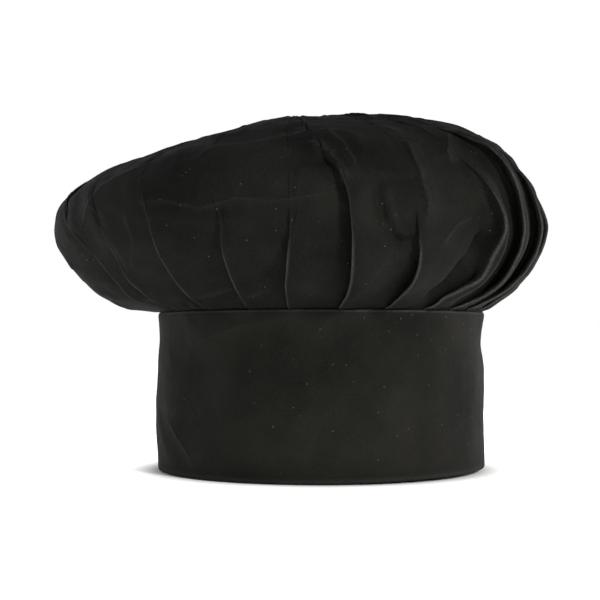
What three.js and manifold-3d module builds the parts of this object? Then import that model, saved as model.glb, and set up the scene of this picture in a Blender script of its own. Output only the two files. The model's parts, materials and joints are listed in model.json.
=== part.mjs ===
// A pleated chef's toque: a gathered cloth crown sewn into a folded, stiffened band.
// The band is closed at the back by a hook-and-loop tab that peels open on a vertical line.
// Millimetres, +Z up, the wearer's face towards -Y. The origin is the centre of the head
// opening, on the plane of the band's lower edge.
import * as THREE from "three";
import { ParametricGeometry } from "three/addons/geometries/ParametricGeometry.js";
import { mergeVertices } from "three/addons/utils/BufferGeometryUtils.js";
import Module from "manifold-3d";

const wasm = await Module();
wasm.setup();

// ---- Driving dimensions, each set by itself ----
const headGirth = 580; // round the outside of the band
const bandHeight = 88;
const bandCloth = 0.8; // one wall of the folded band
const stiffenerCloth = 0.8;
const crownCloth = 1.0; // pleated, so thicker than one layer
const layGap = 0.3; // between cloths that lie on each other
const seamAllowance = 12; // how far the crown's edge runs down inside the band

const crownHeight = 114; // from the seam to the top
const flopReach = 60; // how far the crown hangs past the band, to the wearer's right (-X)
const firmReach = 35; // the same on the other side (+X)
const foreReach = 39; // the same at the front and the back
const peakShift = 20; // the top leans this far to +X
const pleatCount = 24;
const pleatRise = 3; // how far a pleat's folded edge stands over its neighbour

const slitAngle = 111.5; // where the band opens, in degrees round from +X
const bandOpening = 6.4; // the space between the band's two ends
const slitHeight = 44; // the crown's slit above that opening
const tabLength = 66; // along the band
const tabInset = 3; // the tab is this much lower than the band, at the top and the bottom
const tapeThickness = 1.0; // hook tape and loop tape alike
const hookTapeWidth = 22;
const loopTapeLength = 90;
const loopTapeWidth = 28;
const tapeInset = 8; // from the band's opening, and from the tab's free end, to each tape

const threadThickness = 0.4;
const threadWidth = 0.6;
const edgeStitch = 2.5; // how far a row of stitches runs from a cloth's edge
const tackLength = 10;
const tackWidth = 2;
const labelThickness = 0.4;

// ---- Sizes that follow from them ----
const bandOuter = headGirth / (2 * Math.PI);
const outerWallInside = bandOuter - bandCloth;
const allowanceOutside = outerWallInside - layGap;
const allowanceInside = allowanceOutside - Math.max(crownCloth, stiffenerCloth);
const innerWallOutside = allowanceInside - layGap;
const bandInner = innerWallOutside - bandCloth;

const loopInside = bandOuter + layGap;
const hookInside = loopInside + tapeThickness + layGap;
const tabInside = hookInside + tapeThickness + layGap;
const tabStiffenerInside = tabInside + bandCloth + layGap;
const tabOuterWallInside = tabStiffenerInside + stiffenerCloth + layGap;
const tabOuter = tabOuterWallInside + bandCloth;

const slit = THREE.MathUtils.degToRad(slitAngle);
const halfOpening = bandOpening / 2 / bandOuter;
const underlapEnd = slit - halfOpening; // the band's end that goes under the tab
const overlapEnd = slit + halfOpening; // the band's end that the tab grows from
const tabFreeEnd = overlapEnd - tabLength / tabInside;

const ringSegments = 72; // shared, so that rings which lie on each other stay parallel
const clearOfAll = 400; // cutting tools reach past everything
const arc = (length, radius = bandOuter) => length / radius;

// ---- Solids ----
function toSolid(geometry) {
  const bare = geometry.clone();
  bare.deleteAttribute("normal");
  bare.deleteAttribute("uv");
  const merged = mergeVertices(bare, 1e-4);
  return new wasm.Manifold(
    new wasm.Mesh({
      numProp: 3,
      vertProperties: merged.attributes.position.array,
      triVerts: new Uint32Array(merged.index.array),
    }),
  );
}

function toGeometry(solid) {
  const mesh = solid.getMesh();
  const geometry = new THREE.BufferGeometry();
  geometry.setAttribute("position", new THREE.BufferAttribute(mesh.vertProperties, 3));
  geometry.setIndex(new THREE.BufferAttribute(mesh.triVerts, 1));
  geometry.computeVertexNormals();
  return geometry;
}

// A closed outline of [radius, height] points, turned round the Z axis.
// The outline runs up its outer side and down its inner side.
function ring(outline) {
  const points = [...outline, outline[0]].map(([r, z]) => new THREE.Vector2(r, z));
  return toSolid(new THREE.LatheGeometry(points, ringSegments).rotateX(Math.PI / 2));
}

// Everything between two angles, as a wedge of a tall cylinder.
function sector(from, to) {
  const shape = new THREE.Shape();
  shape.moveTo(0, 0);
  shape.lineTo(clearOfAll * Math.cos(from), clearOfAll * Math.sin(from));
  shape.absarc(0, 0, clearOfAll, from, to, false);
  shape.lineTo(0, 0);
  const wedge = new THREE.ExtrudeGeometry(shape, {
    depth: 2 * clearOfAll,
    bevelEnabled: false,
    curveSegments: 24,
  });
  return toSolid(wedge.translate(0, 0, -clearOfAll));
}

// A plate bent round the band: from one radius, height and angle to another.
function bentPlate(inner, outer, low, high, from, to) {
  const outline = [
    [inner, low],
    [outer, low],
    [outer, high],
    [inner, high],
  ];
  return ring(outline).intersect(sector(from, to));
}

// A row of stitches that runs round a bent plate's four edges, lying on that radius.
function stitchedFrame(radius, low, high, from, to) {
  const side = arc(threadWidth, radius);
  const outside = bentPlate(radius, radius + threadThickness, low, high, from, to);
  const inside = bentPlate(
    radius - threadThickness,
    radius + 2 * threadThickness,
    low + threadWidth,
    high - threadWidth,
    from + side,
    to - side,
  );
  return outside.subtract(inside);
}

// ---- Materials ----
const cloth = (color, roughness = 0.92) =>
  new THREE.MeshStandardMaterial({ color, roughness, metalness: 0 });
const materials = {
  crownTwill: cloth(0x1f1f1f),
  bandTwill: cloth(0x222221),
  stiffener: cloth(0xd8d8d2, 0.95),
  hook: cloth(0x161616, 0.7),
  loop: cloth(0x1a1a1a, 0.98),
  thread: cloth(0x141414, 0.6),
  label: cloth(0xe9e9e6, 0.5),
};

const group = new THREE.Group();
function add(name, solid, material) {
  const mesh = new THREE.Mesh(toGeometry(solid), material);
  mesh.name = name;
  group.add(mesh);
}

// ---- Band ----
// One strip of twill folded along the lower edge, with its two raw edges at the seam.
const foldCorner = bandCloth / 2;
const foldedStrip = ring([
  [bandOuter, foldCorner],
  [bandOuter, bandHeight],
  [outerWallInside, bandHeight],
  [outerWallInside, bandCloth],
  [innerWallOutside, bandCloth],
  [innerWallOutside, bandHeight],
  [bandInner, bandHeight],
  [bandInner, foldCorner],
  [bandInner + foldCorner, 0],
  [bandOuter - foldCorner, 0],
]);
const roundTheBand = sector(overlapEnd, underlapEnd + 2 * Math.PI);
add("band_shell", foldedStrip.intersect(roundTheBand), materials.bandTwill);

// The stiffener stands in the fold and stops under the crown's seam allowance.
const stiffenerMiddle = (allowanceOutside + allowanceInside) / 2;
const endMargin = arc(edgeStitch);
add(
  "band_stiffener",
  bentPlate(
    stiffenerMiddle - stiffenerCloth / 2,
    stiffenerMiddle + stiffenerCloth / 2,
    bandCloth + layGap,
    bandHeight - seamAllowance - layGap,
    overlapEnd + endMargin,
    underlapEnd + 2 * Math.PI - endMargin,
  ),
  materials.stiffener,
);

// ---- Crown ----
// Three side views of the cloth's middle surface, from the seam to the top.
// The lower points share out the overhang, the upper ones the way in to the top.
const seamRadius = bandOuter - bandCloth / 2;
const seamHeight = bandHeight + layGap + crownCloth / 2;
const outwardShare = [0, 0.32, 0.645, 0.89, 1];
const inwardShare = [0.955, 0.8, 0.44, 0];

function sideView(reach, topOffset, heightShare) {
  const widest = bandOuter + reach;
  const radii = [
    ...outwardShare.map((share) => seamRadius + share * (widest - seamRadius)),
    ...inwardShare.map((share) => topOffset + share * (widest - topOffset)),
  ];
  const rise = crownHeight - layGap - crownCloth;
  return new THREE.SplineCurve(
    radii.map((r, i) => new THREE.Vector2(r, seamHeight + heightShare[i] * rise)),
  );
}
const firmSide = sideView(firmReach, peakShift, [0, 0.077, 0.178, 0.302, 0.435, 0.59, 0.775, 0.947, 1]);
const flopSide = sideView(flopReach, -peakShift, [0, 0.019, 0.12, 0.27, 0.42, 0.57, 0.73, 0.915, 1]);
const foreSide = sideView(foreReach, 0, [0, 0.046, 0.143, 0.276, 0.426, 0.594, 0.779, 0.938, 1]);

// A point of the smooth crown: angle round the band, and 0 at the seam to 1 at the top.
function smoothCrown(angle, up) {
  const across = Math.cos(angle);
  const along = Math.sin(angle);
  const side = (across > 0 ? firmSide : flopSide).getPoint(up);
  const fore = foreSide.getPoint(up);
  const centre = peakShift * up * up;
  const sideReach = side.x - Math.sign(across) * centre;
  const reach = sideReach * across ** 2 + fore.x * along ** 2;
  const height = side.y * across ** 2 + fore.y * along ** 2;
  return new THREE.Vector3(centre + reach * across, reach * along, height);
}

function outwardNormal(angle, up) {
  const step = 1e-3;
  const low = Math.max(up - step, 0);
  const high = Math.min(up + step, 1 - step);
  const round = smoothCrown(angle + step, up).sub(smoothCrown(angle - step, up));
  const climb = smoothCrown(angle, high).sub(smoothCrown(angle, low));
  return up > 1 - step ? new THREE.Vector3(0, 0, 1) : round.cross(climb).normalize();
}

// Each pleat's folded edge stands out, and its cloth falls away to the next pleat's edge.
const pleatStations = [0, 0.07, 0.4, 0.72]; // places along one pleat where the cloth is followed
const pleatProfile = [-0.5, 0.5, 0.2, -0.2]; // how far it stands out there, times the rise
const pleatSpread = 0.62; // the pleats have opened out by this far up the crown
function pleatOffset(station, up) {
  const opening = Math.max(0, 1 - up / pleatSpread);
  const rooted = Math.min(1, up / 0.12);
  return pleatRise * pleatProfile[station] * opening * rooted;
}

// The cloth's two faces: under the top, down to the hidden edge, round it and back up.
const climbSteps = 13;
const climbs = Array.from({ length: climbSteps + 1 }, (_, i) => i / climbSteps);
const allowanceLow = bandHeight - seamAllowance;
const faceStations = [
  ...climbs.toReversed().map((up) => ({ up, face: -1 })),
  { radius: allowanceOutside - crownCloth, height: bandHeight + layGap + crownCloth },
  { radius: allowanceOutside - crownCloth, height: allowanceLow },
  { radius: allowanceOutside, height: allowanceLow },
  { radius: allowanceOutside, height: bandHeight + layGap },
  ...climbs.map((up) => ({ up, face: 1 })),
];
const slices = pleatCount * pleatStations.length;
const stacks = faceStations.length - 1;

function crownSurface(u, v, target) {
  const slice = Math.round(u * slices) % slices;
  const station = slice % pleatStations.length;
  const pleat = (slice - station) / pleatStations.length;
  const angle = ((pleat + pleatStations[station]) / pleatCount) * 2 * Math.PI;
  const at = faceStations[Math.round(v * stacks)];
  if (at.radius) {
    target.set(at.radius * Math.cos(angle), at.radius * Math.sin(angle), at.height);
    return;
  }
  const away = pleatOffset(station, at.up) + (at.face * crownCloth) / 2;
  target.copy(smoothCrown(angle, at.up)).addScaledVector(outwardNormal(angle, at.up), away);
}
const pleatedCloth = toSolid(new ParametricGeometry(crownSurface, slices, stacks));

// The slit above the band's opening, narrowing to a round end.
const slitShape = new THREE.Shape();
const slitFoot = allowanceLow - layGap;
const slitTop = bandHeight + slitHeight;
const slitEndRadius = bandOpening / 4;
slitShape.moveTo(-bandOpening / 2, slitFoot);
slitShape.lineTo(bandOpening / 2, slitFoot);
slitShape.lineTo(slitEndRadius, slitTop - slitEndRadius);
slitShape.absarc(0, slitTop - slitEndRadius, slitEndRadius, 0, Math.PI, false);
slitShape.lineTo(-bandOpening / 2, slitFoot);
const slitCut = toSolid(
  new THREE.ExtrudeGeometry(slitShape, { depth: clearOfAll, bevelEnabled: false, curveSegments: 4 })
    .rotateX(Math.PI / 2)
    .rotateZ(slit + Math.PI / 2),
);
const slitSide = sector(slit - Math.PI / 4, slit + Math.PI / 4);
add("crown", pleatedCloth.subtract(slitCut.intersect(slitSide)), materials.crownTwill);

// ---- Seams and tacks on the fixed part ----
const seamThreadHeight = bandHeight - edgeStitch - threadWidth;
const seamThreadOutside = bandInner - layGap;
add(
  "crown_seam_thread",
  bentPlate(
    seamThreadOutside - threadThickness,
    seamThreadOutside,
    seamThreadHeight,
    seamThreadHeight + threadWidth,
    overlapEnd + endMargin,
    underlapEnd + 2 * Math.PI - endMargin,
  ),
  materials.thread,
);

const tackInside = bandOuter + layGap;
const tackOutside = tackInside + threadThickness;
add(
  "underlap_end_thread",
  bentPlate(
    tackInside,
    tackOutside,
    edgeStitch,
    bandHeight - edgeStitch,
    underlapEnd - arc(edgeStitch),
    underlapEnd - arc(edgeStitch - threadWidth),
  ),
  materials.thread,
);

const tackStart = overlapEnd + arc(edgeStitch);
for (const [name, low] of [
  ["tab_root_tack_lower", 2 * tabInset],
  ["tab_root_tack_upper", bandHeight - 2 * tabInset - tackLength],
]) {
  add(
    name,
    bentPlate(tackInside, tackOutside, low, low + tackLength, tackStart, tackStart + arc(tackWidth)),
    materials.thread,
  );
}

// The tack across the slit's upper end lies on the crown there.
const slitTackUp = slitTackStation();
function slitTackStation() {
  let up = 0;
  while (smoothCrown(slit, up).z < slitTop + tackWidth) up += 0.002;
  return up;
}
const slitTackPlace = smoothCrown(slit, slitTackUp);
const slitTackNormal = outwardNormal(slit, slitTackUp);
const slitTackClearance = crownCloth / 2 + pleatRise / 2 + layGap + threadThickness;
const slitTack = new THREE.BoxGeometry(tackLength, tackWidth, threadThickness);
const slitTackTurn = new THREE.Matrix4().lookAt(
  slitTackNormal,
  new THREE.Vector3(),
  new THREE.Vector3(0, 0, 1),
);
slitTack
  .applyMatrix4(slitTackTurn)
  .translate(...slitTackPlace.addScaledVector(slitTackNormal, slitTackClearance).toArray());
add("slit_tack", toSolid(slitTack), materials.thread);

// ---- Loop tape on the underlap ----
const tapeMiddle = bandHeight / 2;
const loopEnd = underlapEnd - arc(tapeInset);
const loopStart = loopEnd - arc(loopTapeLength);
const loopLow = tapeMiddle - loopTapeWidth / 2;
const loopHigh = tapeMiddle + loopTapeWidth / 2;
const loopOutside = loopInside + tapeThickness;
add(
  "loop_tape",
  bentPlate(loopInside, loopOutside, loopLow, loopHigh, loopStart, loopEnd),
  materials.loop,
);
const tapeStitch = threadWidth;
add(
  "loop_tape_thread",
  stitchedFrame(
    loopOutside + layGap,
    loopLow + tapeStitch,
    loopHigh - tapeStitch,
    loopStart + arc(tapeStitch),
    loopEnd - arc(tapeStitch),
  ),
  materials.thread,
);

// ---- Labels inside the band ----
const labelOutside = bandInner - layGap;
const labelInside = labelOutside - labelThickness;
const labelHigh = seamThreadHeight - layGap;
for (const [name, angle, width, height] of [
  ["care_label", Math.PI / 3, 30, 42],
  ["size_label", Math.PI / 3 - arc(30), 18, 14],
]) {
  const half = arc(width / 2, labelOutside);
  add(
    name,
    bentPlate(labelInside, labelOutside, labelHigh - height, labelHigh, angle - half, angle + half),
    materials.label,
  );
}

// ---- Closure tab, which peels open about its root ----
const tabLow = tabInset;
const tabHigh = bandHeight - tabInset;
const tabSleeve = bentPlate(tabInside, tabOuter, tabLow, tabHigh, tabFreeEnd, overlapEnd);
const sleeveHollow = bentPlate(
  tabInside + bandCloth,
  tabOuterWallInside,
  tabLow + bandCloth,
  tabHigh - bandCloth,
  tabFreeEnd + arc(bandCloth),
  overlapEnd + arc(bandCloth),
);
add("closure_tab", tabSleeve.subtract(sleeveHollow), materials.bandTwill);
add(
  "tab_stiffener",
  bentPlate(
    tabStiffenerInside,
    tabStiffenerInside + stiffenerCloth,
    tabLow + bandCloth + layGap,
    tabHigh - bandCloth - layGap,
    tabFreeEnd + arc(bandCloth + layGap),
    overlapEnd - arc(layGap),
  ),
  materials.stiffener,
);

const hookEnd = underlapEnd - arc(tapeInset + 2 * threadWidth + layGap);
const hookStart = tabFreeEnd + arc(tapeInset);
const hookLow = tapeMiddle - hookTapeWidth / 2;
const hookHigh = tapeMiddle + hookTapeWidth / 2;
add(
  "hook_tape",
  bentPlate(hookInside, hookInside + tapeThickness, hookLow, hookHigh, hookStart, hookEnd),
  materials.hook,
);
const tabThreadInside = tabOuter + layGap;
add(
  "hook_tape_thread",
  stitchedFrame(
    tabThreadInside,
    hookLow + tapeStitch,
    hookHigh - tapeStitch,
    hookStart + arc(tapeStitch),
    hookEnd - arc(tapeStitch),
  ),
  materials.thread,
);
add(
  "tab_edge_thread",
  stitchedFrame(
    tabThreadInside,
    tabLow + edgeStitch,
    tabHigh - edgeStitch,
    tabFreeEnd + arc(edgeStitch),
    overlapEnd - arc(edgeStitch),
  ),
  materials.thread,
);

export default group;
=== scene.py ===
"""A black pleated chef's toque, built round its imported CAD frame.

Lengths in the making functions are millimetres and angles are degrees round from +X,
seen from above; make_mesh turns them into metres. The face side is -Y, which is -90 degrees.
"""

import json
import math

import bmesh
import bpy
import numpy as np
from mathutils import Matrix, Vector


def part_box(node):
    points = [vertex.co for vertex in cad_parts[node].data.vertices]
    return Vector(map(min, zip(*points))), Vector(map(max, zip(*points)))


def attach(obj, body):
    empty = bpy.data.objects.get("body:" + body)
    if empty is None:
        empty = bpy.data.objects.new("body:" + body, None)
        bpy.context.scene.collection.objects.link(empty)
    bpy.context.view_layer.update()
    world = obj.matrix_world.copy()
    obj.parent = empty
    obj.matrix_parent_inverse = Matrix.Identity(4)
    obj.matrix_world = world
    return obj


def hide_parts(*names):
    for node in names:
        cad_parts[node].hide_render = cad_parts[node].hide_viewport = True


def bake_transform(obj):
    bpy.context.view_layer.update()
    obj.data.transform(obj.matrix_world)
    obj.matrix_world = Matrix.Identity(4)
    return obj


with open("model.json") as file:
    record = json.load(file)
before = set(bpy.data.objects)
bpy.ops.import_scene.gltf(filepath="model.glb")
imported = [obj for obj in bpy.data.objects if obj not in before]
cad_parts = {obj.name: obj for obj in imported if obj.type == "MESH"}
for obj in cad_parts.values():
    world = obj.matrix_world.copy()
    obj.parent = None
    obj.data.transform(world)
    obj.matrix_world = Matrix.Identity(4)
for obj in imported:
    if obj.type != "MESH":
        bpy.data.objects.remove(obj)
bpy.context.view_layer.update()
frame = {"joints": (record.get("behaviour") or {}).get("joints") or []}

MM = 0.001
rng = np.random.default_rng(7)

# ---------------------------------------------------------------- sizes from the frame
band_low, band_high = (np.array(c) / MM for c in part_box("band_shell"))
seam_low, seam_high = (np.array(c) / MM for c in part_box("crown_seam_thread"))
hinge = np.array(frame["joints"][0]["pos_m"]) / MM

WALL = 0.8
LAY_GAP = 0.3  # between cloths that lie on each other
BAND_GAP = 6.4  # between the band's two ends
BAND_OUTER = (band_high[0] - band_low[0]) / 2
BAND_INNER = (seam_high[0] - seam_low[0]) / 2 + LAY_GAP
BAND_HEIGHT = band_high[2]
OUTER_WALL = BAND_OUTER - WALL / 2
INNER_WALL = BAND_INNER + WALL / 2
ALLOWANCE_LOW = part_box("crown")[0][2] / MM
HINGE_ANGLE = math.degrees(math.atan2(hinge[1], hinge[0]))
HINGE_RADIUS = math.hypot(hinge[0], hinge[1])
OPENING = math.degrees(BAND_GAP / BAND_OUTER)
SLIT_ANGLE = HINGE_ANGLE - OPENING / 2
UNDERLAP_ANGLE = HINGE_ANGLE - OPENING
SLIT_HEIGHT = 44.0
TAPE = 1.0  # each tape's thickness with its pile or hooks
TAPE_INSET = 8.0
LOOP_TAPE = (90.0, 28.0)
HOOK_TAPE_WIDTH = 22.0


def deg_of(length):
    """Degrees round the band's outer face."""
    return math.degrees(length / BAND_OUTER)


def polar(radius, angle, z):
    a = np.radians(angle)
    return np.stack(np.broadcast_arrays(radius * np.cos(a), radius * np.sin(a), z), -1)


# ---------------------------------------------------------------- mesh helpers
def add_object(name, data):
    made = bpy.data.objects.new(name, data)
    bpy.context.scene.collection.objects.link(made)
    return made


def make_mesh(name, points, faces):
    """A smooth-shaded mesh object from millimetre points."""
    mesh = bpy.data.meshes.new(name)
    mesh.from_pydata((np.asarray(points, float) * MM).tolist(), [], [list(f) for f in faces])
    mesh.update()
    mesh.polygons.foreach_set("use_smooth", [True] * len(mesh.polygons))
    return add_object(name, mesh)


def grid_faces(rows, cols, closed=False):
    """Quads of a grid of points stored row by row."""
    faces = []
    for i in range(rows - 1):
        low, high = i * cols, (i + 1) * cols
        for j in range(cols if closed else cols - 1):
            k = (j + 1) % cols
            faces.append((low + j, low + k, high + k, high + j))
    return faces


def run_along(line):
    """How far along a line of points each of them lies."""
    return np.r_[0, np.cumsum(np.hypot(*np.diff(np.asarray(line, float), axis=0).T))]


def store(made, name, values):
    """A number for each point of a mesh."""
    at = made.data.attributes.new(name, "FLOAT", "POINT")
    at.data.foreach_set("value", np.asarray(values, np.float32))


def set_weave(made, coordinates, wear_and_highlight=0.0):
    """Where each point lies on the flat cloth, in millimetres, and how much its edge is lightened in
    colour: wear and a painted highlight.
    """
    at = made.data.attributes.new("weave_at", "FLOAT_VECTOR", "POINT")
    flat = np.zeros((len(made.data.vertices), 3), np.float32)
    flat[:, :2] = coordinates
    at.data.foreach_set("vector", flat.ravel())
    store(made, "wear_and_highlight_edge", np.broadcast_to(wear_and_highlight, len(flat)))


def points_of(made):
    """The mesh's points, in millimetres."""
    at = np.zeros(len(made.data.vertices) * 3)
    made.data.vertices.foreach_get("co", at)
    return at.reshape(-1, 3) / MM


def apply_modifiers(made):
    """The evaluated mesh takes the place of the plain one."""
    bpy.context.view_layer.update()
    graph = bpy.context.evaluated_depsgraph_get()
    final = bpy.data.meshes.new_from_object(made.evaluated_get(graph))
    final.name = made.name
    old = made.data
    made.modifiers.clear()
    made.data = final
    bpy.data.meshes.remove(old)


def subdivide(made):
    smooth = made.modifiers.new("smooth", "SUBSURF")
    smooth.levels = smooth.render_levels = 1
    smooth.boundary_smooth = "PRESERVE_CORNERS"


def thicken(made, thickness, smooth=True):
    """Smooths a cloth's middle surface and gives it two faces and a rim."""
    if smooth:
        subdivide(made)
    solid = made.modifiers.new("cloth", "SOLIDIFY")
    solid.thickness = thickness * MM
    solid.offset = 0.0
    solid.use_even_offset = False
    apply_modifiers(made)
    made.data.polygons.foreach_set("use_smooth", [True] * len(made.data.polygons))


def orient(made):
    """Makes the faces of each closed piece point outwards."""
    work = bmesh.new()
    work.from_mesh(made.data)
    bmesh.ops.recalc_face_normals(work, faces=work.faces)
    work.to_mesh(made.data)
    work.free()


def value_noise(points, scale, seed, octaves):
    """Smooth noise of about -1 to 1 at an array of millimetre points."""
    points = np.asarray(points, float)
    total = np.zeros(points.shape[:-1])
    share = 1.0
    for octave in range(octaves):
        p = points / scale * 2**octave + seed * 17.31 + octave * 5.7
        cell = np.floor(p).astype(np.int64)
        f = p - cell
        f = f * f * (3 - 2 * f)
        for corner in range(8):
            offset = np.array([corner & 1, corner >> 1 & 1, corner >> 2 & 1])
            c = cell + offset
            h = c[..., 0] * 374761393 + c[..., 1] * 668265263 + c[..., 2] * 2147483647
            h = (h ^ (h >> 13)) * 1274126177
            value = ((h ^ (h >> 16)) & 0xFFFF) / 32767.5 - 1
            weight = np.prod(np.where(offset, f, 1 - f), -1)
            total += share * value * weight
        share *= 0.5
    return total


def smoothstep(low, high, x):
    t = np.clip((np.asarray(x, float) - low) / (high - low), 0, 1)
    return t * t * (3 - 2 * t)


def bump(x, centre, width):
    return np.exp(-0.5 * ((np.asarray(x, float) - centre) / width) ** 2)


def angle_bump(angle, centre, width):
    turned = (np.asarray(angle, float) - centre + 180) % 360 - 180
    return np.exp(-0.5 * (turned / width) ** 2)


# ---------------------------------------------------------------- materials
def new_material(name):
    made = bpy.data.materials.new(name)
    made.use_nodes = True
    tree = made.node_tree
    shader = tree.nodes["Principled BSDF"]
    return made, tree, shader


def node(tree, kind, **inputs):
    made = tree.nodes.new(kind)
    for key, value in inputs.items():
        if hasattr(made, key):
            setattr(made, key, value)
        else:
            made.inputs[key.replace("_", " ")].default_value = value
    return made


def ramp(tree, source, stops):
    """A colour ramp over a grey value: stops are (position, colour)."""
    made = tree.nodes.new("ShaderNodeValToRGB")
    tree.links.new(source, made.inputs["Fac"])
    elements = made.color_ramp.elements
    while len(elements) < len(stops):
        elements.new(0.5)
    for element, (position, colour) in zip(elements, stops):
        element.position = position
        element.color = (*colour, 1) if len(colour) == 3 else colour
    return made.outputs["Color"]


def calc(tree, operation, *values):
    """A chain of one maths operation over sockets and numbers, from left to right."""
    total, *rest = values
    for value in rest or [None]:
        made = node(tree, "ShaderNodeMath", operation=operation)
        for slot, term in enumerate((total, value)):
            if isinstance(term, (int, float)):
                made.inputs[slot].default_value = term
            elif term is not None:
                tree.links.new(term, made.inputs[slot])
        total = made.outputs[0]
    return total


def texture(tree, where, kind, **inputs):
    """A texture node that reads its place from a vector."""
    made = node(tree, kind, **inputs)
    tree.links.new(where, made.inputs["Vector"])
    return made


def attribute(tree, name):
    return node(tree, "ShaderNodeAttribute", attribute_name=name)


def blended(tree, factor, base, colour):
    """Some of a colour over the base, by a factor."""
    made = node(tree, "ShaderNodeMix", data_type="RGBA")
    tree.links.new(factor, made.inputs["Factor"])
    tree.links.new(base, made.inputs["A"])
    made.inputs["B"].default_value = (*colour, 1)
    return made.outputs["Result"]


RIB_STEP = 1.6  # millimetres along the strip or across it, which is 1.13 from rib to rib
THREAD_STEP = 0.62
CREASE_REACH = 1.1


def twill(name, dark, light, sheen):
    """Black poly-cotton twill: fine diagonal ribs, slubs, worn variation with a painted highlight on
    fold edges and creases, and a little lint.
    """
    made, tree, shader = new_material(name)
    link = tree.links.new
    where = attribute(tree, "weave_at").outputs["Vector"]
    split = node(tree, "ShaderNodeSeparateXYZ")
    link(where, split.inputs[0])
    x, y = split.outputs[0], split.outputs[1]

    def noise(**inputs):
        return texture(tree, where, "ShaderNodeTexNoise", **inputs).outputs["Fac"]

    def add(*values):
        return calc(tree, "ADD", *values)

    def times(*values):
        return calc(tree, "MULTIPLY", *values)

    def sine(value, step):
        return calc(tree, "SINE", times(value, 2 * math.pi / step))

    def centred(value, gain):
        return times(calc(tree, "SUBTRACT", value, 0.5), gain)

    # The ribs run diagonally, and each is broken by the crossing threads.
    ribs = sine(add(x, y, times(noise(Scale=0.09, Detail=3.0), 2.4)), RIB_STEP)
    weave = add(ribs, times(sine(x, THREAD_STEP), 0.35))
    fine = noise(Scale=0.8, Detail=4.0, Roughness=0.65)
    broad = noise(Scale=0.022, Detail=3.0, Roughness=0.55)
    wrinkle = noise(Scale=0.05, Detail=3.0, Roughness=0.5, Distortion=0.6)

    # Colour: uneven dye, lighter rib crowns, rubbed folds and creases that also carry a painted
    # highlight, and sparse specks of pale lint.
    tone = add(centred(broad, 1.6), times(weave, 0.05), centred(fine, 1.1), 0.5)
    base = ramp(tree, tone, [(0.1, dark), (0.9, light)])
    specks = texture(tree, where, "ShaderNodeTexVoronoi", Scale=0.3, Randomness=1.0)
    near = calc(tree, "LESS_THAN", specks.outputs["Distance"], 0.085)
    pick = node(tree, "ShaderNodeSeparateColor")
    link(specks.outputs["Color"], pick.inputs[0])
    lint = times(near, calc(tree, "GREATER_THAN", pick.outputs[0], 0.8), 0.2)
    # A crease is a sharp ridge where its signed distance passes through nothing.
    off, size = (attribute(tree, key).outputs["Fac"] for key in ("crease_at", "crease_size"))
    fall = times(calc(tree, "ABSOLUTE", off), -1 / CREASE_REACH)
    crease = times(calc(tree, "EXPONENT", fall), size)
    edge = attribute(tree, "wear_and_highlight_edge").outputs["Fac"]
    # Fold edges and creases are lightened in colour: partly wear, partly a painted highlight.
    rubbed_and_lit = times(add(calc(tree, "POWER", edge, 2.0), times(crease, 0.12)), fine)
    wear_and_highlight = blended(tree, rubbed_and_lit, base, (0.075, 0.076, 0.075))
    link(blended(tree, lint, wear_and_highlight, (0.35, 0.35, 0.34)), shader.inputs["Base Color"])
    link(add(times(fine, 0.3), 0.62), shader.inputs["Roughness"])

    rumple = node(tree, "ShaderNodeBump", Strength=0.8, Distance=0.001)
    link(add(times(wrinkle, 2.0), crease), rumple.inputs["Height"])
    raised = node(tree, "ShaderNodeBump", Strength=0.45, Distance=0.00014)
    link(add(times(weave, 0.7), times(fine, 2.6)), raised.inputs["Height"])
    link(rumple.outputs["Normal"], raised.inputs["Normal"])
    link(raised.outputs["Normal"], shader.inputs["Normal"])
    shader.inputs["Specular IOR Level"].default_value = 0.06
    shader.inputs["Sheen Weight"].default_value = sheen
    shader.inputs["Sheen Roughness"].default_value = 0.24
    shader.inputs["Sheen Tint"].default_value = (0.66, 0.68, 0.72, 1)
    return made


def felted(name, dark, light, scale, roughness, depth, sheen=0.2, spec=0.3):
    """Interfacing, loop pile, tape and label cloth: fibres at one scale, in object space."""
    made, tree, shader = new_material(name)
    link = tree.links.new
    where = node(tree, "ShaderNodeTexCoord").outputs["Object"]
    fibres = texture(tree, where, "ShaderNodeTexNoise", Scale=scale, Detail=6.0, Roughness=0.7)
    half = scale * 0.5
    cross = texture(tree, where, "ShaderNodeTexWave", Scale=half, Distortion=2.5, Detail=2.0)
    crossed = calc(tree, "MULTIPLY", cross.outputs["Fac"], 0.35)
    mixed = calc(tree, "ADD", fibres.outputs["Fac"], crossed)
    link(ramp(tree, mixed, [(0.35, dark), (1.0, light)]), shader.inputs["Base Color"])
    raised = node(tree, "ShaderNodeBump", Strength=0.5, Distance=depth * MM)
    link(mixed, raised.inputs["Height"])
    link(raised.outputs["Normal"], shader.inputs["Normal"])
    shader.inputs["Roughness"].default_value = roughness
    shader.inputs["Specular IOR Level"].default_value = spec
    shader.inputs["Sheen Weight"].default_value = sheen
    return made


def grey(*levels):
    """Neutral colours, one for each level."""
    return [(level,) * 3 for level in levels]


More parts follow.
